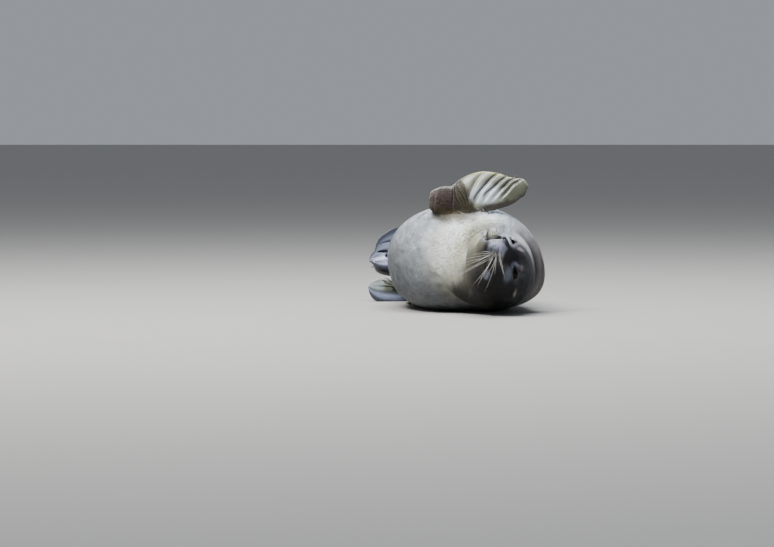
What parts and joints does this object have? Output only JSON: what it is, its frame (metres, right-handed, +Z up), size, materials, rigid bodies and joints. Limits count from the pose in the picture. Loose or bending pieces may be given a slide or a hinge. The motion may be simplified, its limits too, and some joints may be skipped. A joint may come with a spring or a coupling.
{
  "type": "harbor seal pup",
  "caption": "Harbor seal pup lying on its side, belly towards the viewer's left, head turned to face the front and one foreflipper raised over its chest.",
  "frame": {"origin": "centre of the underside of the bounding box, on the floor", "axes": "+Y runs from the nose to the tail, +X towards the animal's back, which is the viewer's right, and +Z up, through its right side"},
  "size_m": [0.327, 0.7604, 0.2621],
  "materials": {
    "coat": "short wet-looking fur, pale silver below and dark grey on the face and back",
    "hide": "dark blue-grey wet hide, satin to glossy",
    "claw": "dark horn, satin",
    "eye": "black, wet and glossy"
  },
  "bodies": {
    "root": {"head": "coat", "neck": "coat", "trunk": "coat", "hindquarters": "coat", "tail": "coat", "eye_left": "eye", "eye_right": "eye", "foreflipper_right": "coat", "claw_foreflipper_right_1": "claw", "claw_foreflipper_right_2": "claw", "claw_foreflipper_right_3": "claw", "claw_foreflipper_right_4": "claw", "claw_foreflipper_right_5": "claw", "foreflipper_left": "coat", "claw_foreflipper_left_1": "claw", "claw_foreflipper_left_2": "claw", "claw_foreflipper_left_3": "claw", "claw_foreflipper_left_4": "claw", "claw_foreflipper_left_5": "claw", "hind_flipper_right": "hide", "claw_hind_flipper_right_1": "claw", "claw_hind_flipper_right_2": "claw", "claw_hind_flipper_right_3": "claw", "claw_hind_flipper_right_4": "claw", "claw_hind_flipper_right_5": "claw", "hind_flipper_left": "hide", "claw_hind_flipper_left_1": "claw", "claw_hind_flipper_left_2": "claw", "claw_hind_flipper_left_3": "claw", "claw_hind_flipper_left_4": "claw", "claw_hind_flipper_left_5": "claw"}
  },
  "joints": []
}
